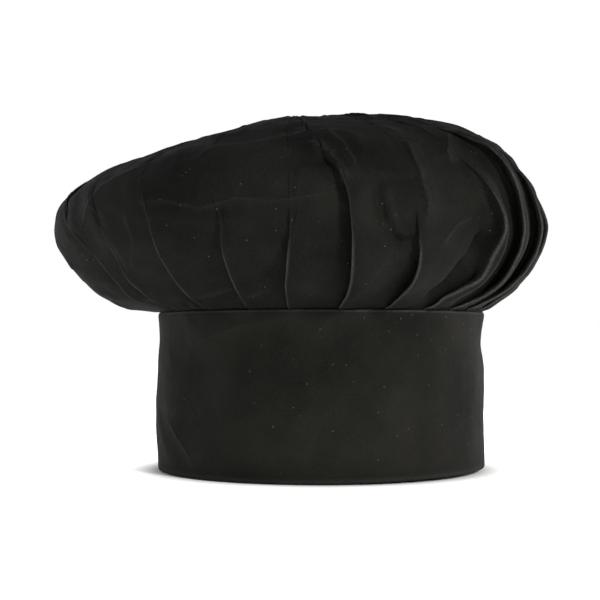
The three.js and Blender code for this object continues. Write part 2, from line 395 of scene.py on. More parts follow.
# The crown and the band are one cloth; the crown's copy is darker and has less sheen: painted shade
# on the crown.
TWILL_CROWN = twill("twill_crown", (0.0018, 0.0018, 0.00155), (0.0098, 0.0098, 0.0084), 0.013)
TWILL_BAND = twill("twill_band", (0.0029, 0.0029, 0.0024), (0.0122, 0.0119, 0.0097), 0.018)
STIFFENER = felted("interfacing", (0.55, 0.55, 0.53), (0.82, 0.82, 0.8), 900, 0.9, 0.1)
HOOKS = felted("hook_nylon", *grey(0.006, 0.02), 1500, 0.45, 0.05, spec=0.5)
LOOPS = felted("loop_pile", *grey(0.004), (0.013, 0.013, 0.014), 1800, 0.85, 0.3, sheen=0.03)
THREAD = felted("sewing_thread", *grey(0.008, 0.03), 4000, 0.5, 0.05)
LABEL = felted("label_satin", (0.62, 0.62, 0.6), (0.8, 0.8, 0.78), 2500, 0.45, 0.03, spec=0.5)


def finish_piece(made, material, body="hat", nodes=()):
    """Material, body and the CAD nodes that a piece stands for."""
    made.data.materials.clear()
    made.data.materials.append(material)
    if body:
        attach(made, body)
    if nodes:
        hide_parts(*nodes)
    return made


# ---------------------------------------------------------------- band
def band_wave(angle, z):
    """How far the band's cloth stands in or out from a true cylinder."""
    on_it = polar(BAND_OUTER, angle, np.asarray(z, float))
    ends = 1 - angle_bump(angle, SLIT_ANGLE, 22)
    waist = -2.5 * bump(z, 74, 9) * (0.75 + 0.5 * value_noise(on_it, 60, 3, 1))
    ripple = 1.3 * value_noise(on_it * [1, 1, 0.6], 38, 5, 2) * smoothstep(0, 30, z)
    fine = 0.35 * value_noise(on_it * [1, 1, 1.6], 14, 8, 2) * smoothstep(0, 20, z)
    slanted = np.asarray(angle) % 360 + 0.55 * np.asarray(z)
    crease = 0.9 * bump(slanted, 212, 2.2) * bump(z, 20, 9)
    drag = -1.3 * bump(slanted, 254, 7) * bump(z, 74, 10)
    return (waist + ripple + fine + crease + drag) * ends


def hem_lift(angle):
    """The folded lower edge doesn't lie quite flat: it lifts a little on the +X side."""
    return 1.7 * angle_bump(angle, -28, 34) + 0.5 * angle_bump(angle, -150, 20)


def on_band(layer, angle, z):
    """A point of one of the band's layers, with the cloth's waves."""
    z = np.asarray(z, float)
    raised = z + hem_lift(angle) * (1 - np.clip(z / BAND_HEIGHT, 0, 1))
    return polar(layer + band_wave(angle, z), angle, raised)


BAND_SCALE = np.array([1.61, 1.0])  # millimetres in a degree, and in a millimetre of height
# Each crease: points as (degrees from the face, height), and how bold it is.
BAND_CREASES = [
    ([(-64, 30), (-58, 22), (-50, 12), (-47, 5)], 0.8),
    ([(-62, 62), (-46, 72), (-28, 80), (-12, 83)], 0.45),
    ([(36, 70), (48, 62), (60, 60)], 0.35),
    ([(-20, 18), (2, 12), (18, 16)], 0.3),
    ([(44, 20), (54, 30), (62, 34)], 0.4),
    ([(100, 30), (122, 22), (140, 30)], 0.4),
    ([(150, 60), (165, 68), (182, 64)], 0.4),
    ([(250, 24), (262, 36), (276, 40)], 0.4),
]


def make_band():
    span = np.linspace(HINGE_ANGLE, UNDERLAP_ANGLE + 360, 184)
    bottom = [
        (OUTER_WALL, 1.6),
        (OUTER_WALL - 0.25, 0.75),
        (OUTER_WALL - 0.85, 0.32),
        ((OUTER_WALL + INNER_WALL) / 2, 0.27),
        (INNER_WALL + 0.85, 0.32),
        (INNER_WALL + 0.25, 0.75),
        (INNER_WALL, 1.6),
    ]
    heights = np.r_[np.linspace(4, 80, 26), 82.5, 84.5, 86]
    top = BAND_HEIGHT
    outer = [(OUTER_WALL - 0.55, top - 0.25), (OUTER_WALL - 0.15, top - 0.8)]
    outer += [(OUTER_WALL, z) for z in heights[::-1]]
    inner = [(INNER_WALL, z) for z in heights] + [(INNER_WALL, top - 0.8), (INNER_WALL, top - 0.3)]
    profile = outer + bottom + inner
    rows = [on_band(r, span, z) for r, z in profile]
    points = np.concatenate(rows)
    faces = grid_faces(len(profile), len(span))
    last = len(profile) - 1
    for k in range(last // 2):
        sides = [k, k + 1, last - k - 1, last - k]
        if k + 1 == last - k - 1:
            sides = [k, k + 1, last - k]
        faces.append([i * len(span) for i in sides])
        faces.append([i * len(span) + len(span) - 1 for i in reversed(sides)])
    made = make_mesh("band_cloth", points, faces)
    run = run_along(profile)
    around = np.radians(span) * BAND_OUTER
    rubbed_and_lit = np.zeros(len(profile))
    # The top edge and the hem are lightened in colour: partly wear, partly a painted highlight.
    rubbed_and_lit[:2] = 0.5, 0.75
    rubbed_and_lit[len(outer) : len(outer) + len(bottom)] = 0.5
    flat = np.stack(np.meshgrid(around, run), -1).reshape(-1, 2)
    set_weave(made, flat, np.repeat(rubbed_and_lit, len(span)))
    thicken(made, 0.5)
    at = points_of(made)
    face = np.degrees(np.arctan2(at[:, 1], at[:, 0])) + 90
    set_creases(made, face, at[:, 2], BAND_CREASES, BAND_SCALE)
    finish_piece(made, TWILL_BAND, nodes=["band_shell"])


def make_stiffener():
    span = np.linspace(HINGE_ANGLE + 1.6, UNDERLAP_ANGLE + 358.4, 260)
    low, high = (c[2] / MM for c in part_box("band_stiffener"))
    heights = np.linspace(low + 0.4, high, 20)
    middle = (OUTER_WALL + INNER_WALL) / 2
    rows = [on_band(middle, span, z) for z in heights]
    made = make_mesh("band_interfacing", np.concatenate(rows), grid_faces(len(heights), len(span)))
    thicken(made, 0.5, smooth=False)
    finish_piece(made, STIFFENER, nodes=["band_stiffener"])


# ---------------------------------------------------------------- crown
# Side views of the cloth from the seam to the middle of its round piece: reach and height.
# The middle of the cloth lies off the band's axis, because the crown flops to -X.
POLE_X = -18.0
SIDE_VIEWS = {
    "flop": [
        (91.6, 88.0), (94, 89.2), (104, 90.6), (115, 94), (125.5, 101.8), (134, 109.5),
        (141.5, 119), (148.5, 127), (151.5, 137), (150, 146), (142, 153), (131, 160.5),
        (114, 168), (93, 175.5), (72, 182.5), (51, 189.5), (36, 194.5), (18, 199),
    ],
    "firm": [
        (91.6, 88.0), (94.5, 90.4), (103, 97.5), (109.5, 105), (118, 118.5), (123, 129),
        (123.5, 137), (121, 148), (118, 159), (114, 168), (108, 178), (95.5, 186.5),
        (81, 193), (67, 197.5), (45, 201.3), (22, 202), (0, 201), (-18, 199),
    ],
    "face": [
        (91.6, 88.0), (94.5, 90), (104, 94.5), (115, 101.5), (124, 111), (129.5, 122), (131, 135),
        (129, 148), (123, 160), (112, 171), (94, 181.5), (72, 189.5), (46, 195.5), (22, 198.3),
        (0, 199),
    ],
    "back": [
        (91.6, 88.0), (94.5, 89.6), (104, 93), (116, 99.5), (125.5, 109), (130.5, 121),
        (131.5, 134), (129, 147), (122, 159), (110, 169.5), (92, 180), (70, 188.5), (46, 195),
        (22, 198.3), (0, 199),
    ],
}
CLOTH_RADIUS = 245.0
EDGE = 12.0  # of the cloth's radius, hidden in the band


def bell(reach, spread):
    """Weights that add up to one, over 2 * reach + 1 steps."""
    kernel = np.exp(-0.5 * (np.arange(-reach, reach + 1) / spread) ** 2)
    return kernel / kernel.sum()


def smoothed(points):
    """A side view resampled evenly and rounded, with its ends kept."""
    points = np.array(points, float)
    run = run_along(points)
    even = np.linspace(0, run[-1], 600)
    line = np.stack([np.interp(even, run, points[:, k]) for k in (0, 1)], -1)
    kernel = bell(60, 13.2)
    padded = np.vstack([2 * line[0] - line[60:0:-1], line, 2 * line[-1] - line[-2:-62:-1]])
    rounded = np.stack([np.convolve(padded[:, k], kernel, "valid") for k in (0, 1)], -1)
    rounded[[0, -1]] = line[[0, -1]]
    return rounded


VIEWS = {key: smoothed(points) for key, points in SIDE_VIEWS.items()}


def from_view(key, up):
    line = VIEWS[key]
    place = np.clip(up, 0, 1) * (len(line) - 1)
    steps = np.arange(len(line))
    return np.interp(place, steps, line[:, 0]), np.interp(place, steps, line[:, 1])


def smooth_crown(angle, up):
    """The crown's smooth shape, at an angle and a share of the way from the seam to the middle."""
    a = np.radians(angle)
    c, s = np.cos(a), np.sin(a)
    flop, firm = from_view("flop", up), from_view("firm", up)
    face, back = from_view("face", up), from_view("back", up)
    centre = POLE_X * up * up
    side = np.where(c < 0, flop[0] + centre, firm[0] - centre)
    side_z = np.where(c < 0, flop[1], firm[1])
    fore = np.where(s < 0, face[0], back[0])
    fore_z = np.where(s < 0, face[1], back[1])
    reach = side * c * c + fore * s * s
    z = side_z * c * c + fore_z * s * s
    z = z - 2.3 * smoothstep(150, 200, z)
    z = z + 1.1 * smoothstep(0, 0.005, up) * (1 - smoothstep(0.03, 0.16, up))
    return np.stack([centre + reach * c, reach * s, z], -1)


def crown_normal(angle, up):
    e = 0.004
    high, low = np.minimum(up + e, 1), np.maximum(up - e, 0)
    round_it = smooth_crown(angle + 0.3, up) - smooth_crown(angle - 0.3, up)
    climb = smooth_crown(angle, high) - smooth_crown(angle, low)
    n = np.cross(round_it, climb)
    n[..., 2] += 1e-9
    n /= np.linalg.norm(n, axis=-1, keepdims=True)
    return np.where((up > 0.985)[..., None], np.array([0, 0, 1.0]), n)


# Folded edges of the pleats: the angle of each at the seam, in degrees from the face towards
# +X and starting at the slit; how far it has drifted at each share of the way up in
# DRIFT_AT; how far up it lasts; how bold it is.
DRIFT_AT = (0, 0.06, 0.12, 0.18, 0.25, 0.32, 0.4, 0.5)
PLEATS = [
    (215.5, (0, 0, 1, 1, 1, 0, 0, 0), 0.34, 1.0),
    (229, (0, 0, 1, 2, 2, 2, 2, 2), 0.4, 0.8),
    (243, (0, -1, -1, -2, -2, -2, -2, -2), 0.32, 1.1),
    (257, (0, 0, 0, 1, 1, 1, 1, 1), 0.42, 0.9),
    (271.5, (0, 0, -1, -1, -2, -2, -2, -2), 0.36, 1.0),
    (286, (0, -1, -2, -3, -4, -6, -8, -9), 0.38, 1.0),
    (298.5, (0, 1.5, 1.5, 1.5, 0, -5, -12, -16), 0.34, 1.1),
    (306.5, (0, 2, 2.5, 2.5, 2, -0.5, -4, -7), 0.3, 1.2),
    (319, (0, 2.5, 4.5, 4.5, 4, 2.5, -1, -4), 0.34, 1.2),
    (335, (0, 1.5, 3, 3, 3, 2, 0, -2), 0.28, 1.1),
    (348.5, (0, 1, 2, 3.5, 4.5, 5, 5, 4), 0.28, 1.1),
    (364.5, (0, 0.8, 1.3, 1.5, 1.2, 0.8, -1.5, -6), 0.43, 1.4),
    (380, (0, 0.5, 1, 1, 1, 1, 1, 1), 0.27, 1.4),
    (394, (0, 4.5, 8.5, 11, 10, 8, 4, 0), 0.4, 1.8),
    (406, (0, 6.5, 7.5, 7.5, 7.5, 6.5, 1, -4), 0.54, 1.5),
    (416.5, (0, 7.5, 10, 10, 8, 5, 3, 1), 0.42, 1.3),
    (426.5, (0, 6, 9, 11, 11, 9, 6, 4), 0.4, 1.2),
    (437, (0, 4, 7, 9, 10, 9, 7, 6), 0.38, 1.1),
    (449, (0, 2, 4, 6, 7, 7, 6, 5), 0.38, 1.0),
    (461, (0, 0, 1, 2, 3, 3, 2, 2), 0.42, 0.9),
    (474, (0, 0, 1, 2, 2, 2, 2, 2), 0.36, 1.1),
    (488, (0, 0, 0, 0, 0, 0, 0, 0), 0.34, 1.0),
    (502.5, (0, 1, 2, 2, 3, 3, 3, 3), 0.4, 0.9),
    (517, (0, 0, -1, -1, -2, -2, -2, -2), 0.34, 1.1),
    (531.5, (0, 0, 0, 0, 0, 0, 0, 0), 0.38, 0.8),
    (546, (0, 0, 0, 0, 0, 0, 0, 0), 0.34, 1.0),
]
PANEL_COLUMNS = 16
DENSE = 4  # points followed between two columns


def spaced(count):
    """Even steps from 0 to 1 that are drawn together at the folded edges."""
    even = np.arange(count) / count
    return even - 0.62 * np.sin(2 * math.pi * even) / (2 * math.pi)


def slit_half(height):
    """Half the slit's width in degrees, which narrows to nothing at its upper end."""
    share = np.clip(1 - (height - BAND_HEIGHT) / SLIT_HEIGHT, 0, 1) ** 0.7
    return OPENING / 2 * share


def crown_rows():
    near = np.array([0, 0.004, 0.008, 0.018, 0.03, 0.044, 0.06])
    return np.r_[near, np.linspace(0.078, 0.955, 46)]


def panel_path(pitch, hidden, here, there):
    """Across one panel: down from its own fold, under the next one, and back up to its edge."""
    shown = [(pitch * across, here * out) for across, out in ((0, 1), (0.12, 0.94), (0.42, 0.56))]
    under = [(pitch + hidden * 0.9, there * 0.42), (pitch + 0.1 * hidden, there * 0.62)]
    turn = [(pitch * 0.82, here * 0.08), (pitch + hidden, 0.0)]
    return np.array(shown + turn + under + [(pitch, there)])


def pleat_ring(up, radius):
    """One ring of the pleated cloth: its columns' angles and how far each stands out."""
    edges = np.array([201.5] + [p[0] for p in PLEATS] + [561.5], float) - 90
    near = np.clip(up + np.linspace(-0.03, 0.03, 7), 0, 1)
    drift = [np.interp(near, DRIFT_AT, p[1]).mean() for p in PLEATS]
    edges = edges + np.array([0, *drift, 0]) * smoothstep(-0.02, 0.03, up)
    lasts = np.array([0.3] + [p[2] for p in PLEATS] + [0.3])
    bold = np.array([0.6] + [p[3] for p in PLEATS] + [0.6])
    half = slit_half(smooth_crown(np.array([SLIT_ANGLE]), np.array([up]))[0, 2])
    edges[0] += half
    edges[-1] -= half
    fabric = (CLOTH_RADIUS - EDGE) * (1 - up)
    panels = len(edges) - 1
    share = np.r_[np.full(panels - 1, (360 - 8.0) / (panels - 1)), 8.0]
    rise = 0.6 + 1.6 * smoothstep(0.003, 0.014, up) + 3.8 * smoothstep(0, 0.14, up)
    angles, outs, wear_and_highlight = [], [], []
    for k in range(panels):
        pitch = math.radians(edges[k + 1] - edges[k]) * radius
        hidden = max(0.0, (fabric * math.radians(share[k]) - pitch) / 2)
        if k == panels - 1:
            hidden = 0.0
        fade_here = 1 - smoothstep(lasts[k] * 0.6, lasts[k] * 1.12, up)
        fade_next = 1 - smoothstep(lasts[k + 1] * 0.6, lasts[k + 1] * 1.12, up)
        here = rise * bold[k] * fade_here
        there = rise * bold[k + 1] * fade_next
        hidden *= 0.25 + 0.75 * fade_next
        path = panel_path(pitch, hidden, here, there)
        # Each folded edge is lightened in colour: partly wear, partly a painted highlight.
        edge = np.zeros(PANEL_COLUMNS)
        edge[[0, 1, -1]] = fade_here, 0.15 * fade_here, 0.15 * fade_next
        wear_and_highlight.append(edge)
        if k == panels - 1:
            path = np.array([(0, here), (pitch * 0.5, here * 0.5), (pitch, here * 0.3)])
        run = np.r_[0, np.cumsum(np.hypot(*np.diff(path, axis=0).T) + 1e-6)]
        count = PANEL_COLUMNS * DENSE
        at = spaced(count)
        along = np.interp(at * run[-1], run, path[:, 0])
        out = np.interp(at * run[-1], run, path[:, 1])
        plain = edges[k] + at * (edges[k + 1] - edges[k])
        angles.append(edges[k] + np.degrees(along / radius) - plain)
        outs.append(out)
    angles, outs = np.concatenate(angles), np.concatenate(outs)
    spread = (0.22 + 1.5 * smoothstep(0.18, 0.6, up)) * DENSE * 0.55
    reach = int(max(3, 3 * spread))
    kernel = bell(reach, spread)
    angles, outs = (
        np.convolve(np.r_[np.full(reach, v[0]), v, np.full(reach, v[-1])], kernel, "valid")
        for v in (angles, outs)
    )
    steps = spaced(PANEL_COLUMNS)
    plain = np.concatenate([edges[k] + steps * (edges[k + 1] - edges[k]) for k in range(panels)])
    cloth = np.concatenate([share[:k].sum() + steps * share[k] for k in range(panels)])
    ring = np.r_[plain + angles[::DENSE], edges[-1]]
    outs = np.r_[outs[::DENSE], outs[-1]] - rise / 2 * (1 - smoothstep(0.25, 0.6, up))
    return ring, outs, np.r_[cloth, 360.0], np.r_[np.concatenate(wear_and_highlight), 0.0]


def crown_relief(angle, up):
    """Large soft waves of the crown, as millimetres along its normal."""
    point = smooth_crown(angle, up)
    soft = 1.7 * value_noise(point, 52, 11, 2) + 1.0 * value_noise(point * [1, 1, 1.7], 24, 4, 2)
    return soft * smoothstep(0.08, 0.3, up)


CRESCENT = [(12.5, 0.36), (12.5, 0.31), (13.5, 0.27), (15.5, 0.235), (18.5, 0.212), (22, 0.235)]


def crown_dents(face, up):
    """The hollows that show on the face side, at degrees from the face."""
    # A rolled edge that curves round a hollow, open towards its upper right.
    distance, ends = crease_field(face, up, CRESCENT, CROWN_SCALE)
    dent = 3.2 * smoothstep(-1.5, 3, distance) * np.exp(-np.maximum(distance, 0) / 8)
    dent = (dent - 3.6 * np.exp(-(((distance + 1) / 2.6) ** 2))) * ends
    lip = 1.0 * angle_bump(face, 22.5, 2.4) * bump(up, 0.36, 0.1)
    pocket = -12.0 * angle_bump(face, 41.8, 2.2) * bump(up, 0.185, 0.03)
    pocket -= 11.0 * angle_bump(face, 38, 2.4) * bump(up, 0.12, 0.03)
    pocket -= 8.0 * angle_bump(face, 35, 2.2) * bump(up, 0.065, 0.02)
    hollow = -3.0 * angle_bump(face, 50, 4) * bump(up, 0.27, 0.07)
    over = -4.5 * angle_bump(face, -1, 4.5) * bump(up, 0.415, 0.022)
    lobe = -3.0 * angle_bump(face, -61, 3.6) * bump(up, 0.24, 0.08)
    return dent + lip + pocket + hollow + over + lobe


# Sharp creases on the crown: points as (degrees from the face, share of the way up), the
# height of the crease, its width, and how much higher the cloth lies on its +X side.
CREASES = [
    (
        [(-44, 0.34), (-34, 0.33), (-26, 0.305), (-18, 0.32), (-9.5, 0.31), (-2.5, 0.32), (5, 0.33)],
        1.0, 2.4, 0.0,
    ),
    ([(23.4, 0.49), (22.5, 0.41), (22.6, 0.35), (23.6, 0.3), (22.8, 0.24)], 1.7, 1.2, 2.0),
    ([(42, 0.52), (33.5, 0.43), (34, 0.395)], 1.5, 2.2, 1.2),
    ([(-3, 0.475), (0.5, 0.45), (2.5, 0.43), (4.5, 0.385), (5.5, 0.34)], 2.0, 2.2, 1.6),
    ([(1, 0.56), (4, 0.53), (6.5, 0.47), (7.5, 0.41), (7.5, 0.37)], 1.8, 2.4, 0.0),
    ([(-36, 0.085), (-30, 0.075), (-23, 0.085)], 1.2, 1.8, 0.0),
    ([(-22, 0.06), (-17, 0.075), (-13, 0.07)], 0.9, 1.8, 0.0),
    ([(26, 0.2), (31, 0.25), (37, 0.27)], 1.0, 2.4, 0.0),
    ([(-62, 0.3), (-54, 0.4), (-40, 0.47)], 1.0, 2.6, 0.0),
    ([(-30, 0.45), (-12, 0.5), (4, 0.56)], 0.8, 2.6, 0.0),
    ([(-48, 0.18), (-44, 0.25), (-45, 0.33)], 0.8, 2.4, 0.0),
    ([(10, 0.12), (14, 0.17), (17, 0.16)], 0.7, 2.0, 0.0),
    ([(80, 0.2), (95, 0.26), (112, 0.24)], 1.0, 2.4, 0.0),
    ([(120, 0.4), (140, 0.34), (160, 0.38)], 1.1, 2.4, 0.0),
    ([(185, 0.3), (205, 0.35), (228, 0.31)], 1.1, 2.4, 0.0),
    ([(238, 0.42), (255, 0.46), (268, 0.42)], 1.0, 2.4, 0.0),
]


def crease_field(face, up, line, scale):
    """Signed distance in millimetres to one crease, and how strong it is, fading at both ends."""
    line = np.array(line, float)
    turned = (face - line[:, 0].mean() + 180) % 360 - 180 + line[:, 0].mean()
    here = np.stack([turned, up], -1) * scale
    corner = line * scale
    lengths = np.hypot(*np.diff(corner, axis=0).T)
    starts = np.r_[0, np.cumsum(lengths)]
    nearest = np.full(len(here), 1e9)
    side, along = np.ones(len(here)), np.zeros(len(here))
    for k, length in enumerate(lengths):
        ahead = (corner[k + 1] - corner[k]) / length
        gap = here - corner[k]
        run = np.clip(gap @ ahead, 0, length)
        off = gap - run[:, None] * ahead
        distance = np.hypot(off[:, 0], off[:, 1])
        closer = distance < nearest
        nearest = np.where(closer, distance, nearest)
        turn = ahead[0] * gap[:, 1] - ahead[1] * gap[:, 0]
        side = np.where(closer, np.where(turn < 0, -1.0, 1.0), side)
        along = np.where(closer, (starts[k] + run) / starts[-1], along)
    ends = smoothstep(0, 0.2, along) * (1 - smoothstep(0.8, 1, along))
    return nearest * side, ends * (1 - smoothstep(5, 9, nearest))


def set_creases(made, face, up, creases, scale):
    """Stores the nearest crease for the material, which draws its sharp ridge and paints a highlight
    along it.
    """
    nearest = np.full(len(face), 1e3)
    size = np.zeros(len(face))
    for line, height, *_ in creases:
        distance, ends = crease_field(face, up, line, scale)
        closer = np.abs(distance) < np.abs(nearest)
        nearest = np.where(closer, distance, nearest)
        size = np.where(closer, height * ends, size)
    store(made, "crease_at", nearest)
    store(made, "crease_size", size)


CROWN_SCALE = np.array([2.1, CLOTH_RADIUS - EDGE])  # millimetres in a degree, and in the way up


def crown_fine(point, up):
    """Creases and small wrinkles that come from packing and handling."""
    centre = POLE_X * up * up
    face = np.degrees(np.arctan2(point[:, 1], point[:, 0] - centre)) + 90
    total = crown_dents(face, up)
    for line, height, width, step in CREASES:
        distance, ends = crease_field(face, up, line, CROWN_SCALE)
        lean = -distance if line[-1][1] < line[0][1] else distance
        lifted = step * 0.5 * (1 - np.tanh(lean / 1.6)) * np.exp(-np.abs(distance) / 9)
        total += (0.6 * height * np.exp(-np.abs(distance) / (width * 1.4)) + lifted) * ends
    free = smoothstep(0.02, 0.1, up)
    patch = smoothstep(-0.5, 0.6, value_noise(point, 60, 31, 1))
    ridged = 1 - np.abs(value_noise(point * [1, 1, 1.5], 30, 9, 1)) * 2.4
    total += 1.1 * np.clip(ridged, 0, 1) ** 2 * patch * free
    fine = 1 - np.abs(value_noise(point * [1.2, 1.2, 1], 15, 14, 1)) * 2.4
    total += 0.5 * np.clip(fine, 0, 1) ** 2 * (0.3 + 0.7 * patch) * free
    total += 0.28 * value_noise(point, 9, 23, 2) * free

    return total


def crown_hold(climbed):
    """How firmly each point of the crown is held: sewn at the seam, looser as it climbs."""
    return np.where(climbed < 0.005, 1.0, 0.36 + 0.5 * (1 - smoothstep(0, 0.12, climbed)))


CLOTH_SETTINGS = {
    "quality": 5,
    "mass": 0.02,
    "shear_stiffness": 5,
    "bending_model": "ANGULAR",
    "bending_stiffness": 0.05,
    "bending_damping": 0.5,
    "air_damping": 1,
    "vertex_group_mass": "held",
    "pin_stiffness": 2,
    "use_pressure": True,
    "uniform_pressure_force": 0.25,
}
SETTLING_FRAMES = 40


def settle_cloth(points, faces, flat, hold):
    """Blender's cloth solver, at ten times the size: the shape that cloth cut flat takes."""
    grow = 10 * MM
    mesh = bpy.data.meshes.new("settling")
    mesh.from_pydata((points * grow).tolist(), [], faces)
    cloth = add_object("settling", mesh)
    cloth.shape_key_add(name="shaped")
    cut = cloth.shape_key_add(name="cut_flat")
    laid = np.zeros((len(points), 3), np.float32)
    laid[:, :2] = flat * grow * 1.05
    cut.data.foreach_set("co", laid.ravel())
    held = cloth.vertex_groups.new(name="held")
    for level in np.unique(np.round(hold, 2)):
        members = np.nonzero(np.round(hold, 2) == level)[0]
        held.add(members.tolist(), float(level), "REPLACE")
    solver = cloth.modifiers.new("cloth", "CLOTH")
    s = solver.settings
    for key, value in CLOTH_SETTINGS.items():
        setattr(s, key, value)
    s.tension_stiffness = s.compression_stiffness = 15
    s.tension_damping = s.compression_damping = s.shear_damping = 1
    s.rest_shape_key = cut
    s.effector_weights.gravity = 0.05
    c = solver.collision_settings
    c.use_collision = False
    c.use_self_collision = True
    c.self_distance_min = 0.006
    c.self_friction = 2
    for frame_number in range(1, SETTLING_FRAMES + 1):
        bpy.context.scene.frame_set(frame_number)
    graph = bpy.context.evaluated_depsgraph_get()
    settled = np.zeros(len(points) * 3, np.float32)
    cloth.evaluated_get(graph).data.vertices.foreach_get("co", settled)
    bpy.context.scene.frame_set(1)
    bpy.data.objects.remove(cloth)
    bpy.data.meshes.remove(mesh)
    return settled.reshape(-1, 3) / grow


def smooth_and_lift(made):
    """Smooths the settled cloth, then presses its fine creases into it."""
    subdivide(made)
    apply_modifiers(made)
    mesh = made.data
    place, up = points_of(made), np.zeros(len(mesh.vertices))
    mesh.attributes["share_up"].data.foreach_get("value", up)
    angle = np.degrees(np.arctan2(place[:, 1], place[:, 0] - POLE_X * up * up))
    lift = crown_fine(place, up) * (up > 0.004)
    place += crown_normal(angle, np.clip(up, 0, 1)) * lift[:, None]
    mesh.vertices.foreach_set("co", (place * MM).ravel())
    mesh.attributes.remove(mesh.attributes["share_up"])
    mesh.update()
    set_creases(made, angle + 90, up, CREASES, CROWN_SCALE)


def make_crown():
    ups = crown_rows()
    rings, flat = [], []
    # Inside the band: the pleats lie flat between its two walls.
    first_ring, first_out, cloth, wear_and_highlight = pleat_ring(0.0, BAND_OUTER)
    gap_middle = (OUTER_WALL + INNER_WALL) / 2
    for z in (ALLOWANCE_LOW + 0.2, 80.0, 84.0, 86.6):
        flatter = first_out / max(abs(first_out).max(), 1e-6) * 0.55
        radius = gap_middle + flatter + band_wave(first_ring, z)
        rings.append(polar(radius, first_ring, z))
        flat.append((CLOTH_RADIUS - EDGE + BAND_HEIGHT - z, cloth, wear_and_highlight))
    for up in ups:
        mean = smooth_crown(np.linspace(-180, 179, 60), np.full(60, up))
        radius = np.hypot(mean[:, 0] - POLE_X * up * up, mean[:, 1]).mean()
        ring, out, cloth, wear_and_highlight = pleat_ring(up, radius)
        level = np.full(len(ring), up)
        point = smooth_crown(ring, level)
        normal = crown_normal(ring, level)
        point = point + normal * (out + crown_relief(ring, level))[:, None]
        settle = 1 - smoothstep(0.003, 0.009, up)
        point += polar(band_wave(ring, 88.0) - 1.4, ring, 0.0) * settle
        rings.append(point)
        flat.append(((CLOTH_RADIUS - EDGE) * (1 - up), cloth, wear_and_highlight))
    columns = len(rings[0])
    points = np.concatenate(rings)
    # Fewer columns are kept as the rings shrink towards the middle of the cloth.
    steps = [1] * 4 + [1 if up < 0.7 else 2 if up < 0.86 else 4 for up in ups[:-1]] + [24]
    faces = []
    for i in range(len(rings) - 1):
        fine, coarse = steps[i], steps[i + 1]
        for j in range(0, columns - 1, coarse):
            low = [i * columns + j + k for k in range(0, coarse + 1, fine)]
            faces.append((*low, (i + 1) * columns + j + coarse, (i + 1) * columns + j))
    pole = len(points)
    points = np.vstack([points, rings[-1].mean(0)])
    last = (len(rings) - 1) * columns
    for j in range(0, columns - 1, steps[-1]):
        faces.append((last + j, last + j + steps[-1], pole))
    # The slit's two sides join above its upper end.
    joined = {}
    for i, ring in enumerate(rings):
        if i >= 4 and ring[0, 2] > BAND_HEIGHT + SLIT_HEIGHT:
            joined[i * columns + columns - 1] = i * columns
    faces = [tuple(joined.get(v, v) for v in f) for f in faces]
    angle = np.radians(np.concatenate([row[1] for row in flat]))
    radius = np.concatenate([np.full(columns, row[0]) for row in flat])
    # How much each point's colour is lightened at fold edges: wear and a painted highlight.
    wear_and_highlight = np.r_[np.concatenate([row[2] for row in flat]), 0.0]
    weave = np.vstack([np.stack([radius * np.cos(angle), radius * np.sin(angle)], -1), [[0, 0]]])
    climbed = np.r_[np.full(4 * columns, -0.05), np.repeat(ups, columns), 1.0]
    used = sorted({v for f in faces for v in f})
    index = {v: i for i, v in enumerate(used)}
    faces = [tuple(index[v] for v in f) for f in faces]
    points, weave, climbed, wear_and_highlight = points[used], weave[used], climbed[used], wear_and_highlight[used]
    points = settle_cloth(points, faces, weave, crown_hold(climbed))
    made = make_mesh("crown_cloth", points, faces)
    set_weave(made, weave, wear_and_highlight)
    store(made, "share_up", climbed)
    smooth_and_lift(made)
    thicken(made, 0.5, smooth=False)
    finish_piece(made, TWILL_CROWN, nodes=["crown"])
    return made


# ---------------------------------------------------------------- small parts
def rod(points, radius, sides=5, taper=True):
    """Points and faces of a thread or bristle that follows a short line."""
    points = np.array(points, float)
    rings = []
    for k, here in enumerate(points):
        ahead = points[min(k + 1, len(points) - 1)] - points[max(k - 1, 0)]
        ahead /= np.linalg.norm(ahead) + 1e-9
        side = np.cross(ahead, [0.13, 0.37, 0.92])
        side /= np.linalg.norm(side) + 1e-9
        other = np.cross(ahead, side)
        size = radius * (0.45 if taper and k in (0, len(points) - 1) else 1)
        turn = np.linspace(0, 2 * math.pi, sides, endpoint=False)[:, None]
        rings.append(here + size * (np.cos(turn) * side + np.sin(turn) * other))
    faces = grid_faces(len(points), sides, closed=True)
    faces.append(tuple(range(sides))[::-1])
    faces.append(tuple((len(points) - 1) * sides + k for k in range(sides)))
    return np.concatenate(rings), faces


def many(name, rods):
    """One mesh from many rods."""
    points, faces, count = [], [], 0
    for at, quads in rods:
        points.append(at)
        faces += [tuple(count + v for v in f) for f in quads]
        count += len(at)
    made = make_mesh(name, np.concatenate(points), faces)
    orient(made)
    return made


STITCH, STITCH_GAP = 2.6, 0.5
STITCH_RADIUS = 0.17
# One stitch: shares of its length, and how far its thread's middle stands over the cloth.
STITCH_PATH = ((0, -0.16), (0.2, 0.085), (0.5, 0.136), (0.8, 0.085), (1, -0.16))


def stitch_row(place, length):
    """Stitches along place(distance), which gives a point on the cloth and its normal."""
    rods = []
    count = max(1, int(length / STITCH))
    pitch = length / count
    for k in range(count):
        line = []
        for share, depth in STITCH_PATH:
            at, normal = place(k * pitch + STITCH_GAP / 2 + share * (pitch - STITCH_GAP))
            line.append(np.array(at) + np.array(normal) * depth)
        rods.append(rod(line, STITCH_RADIUS))
    return rods


def outward(angle):
    a = math.radians(angle)
    return np.array([math.cos(a), math.sin(a), 0.0])


def on_cylinder(radius, angle, z, facing, wave):
    shift = float(band_wave(angle, z)) if wave else 0.0
    return polar(radius + shift, angle, z), outward(angle) * facing


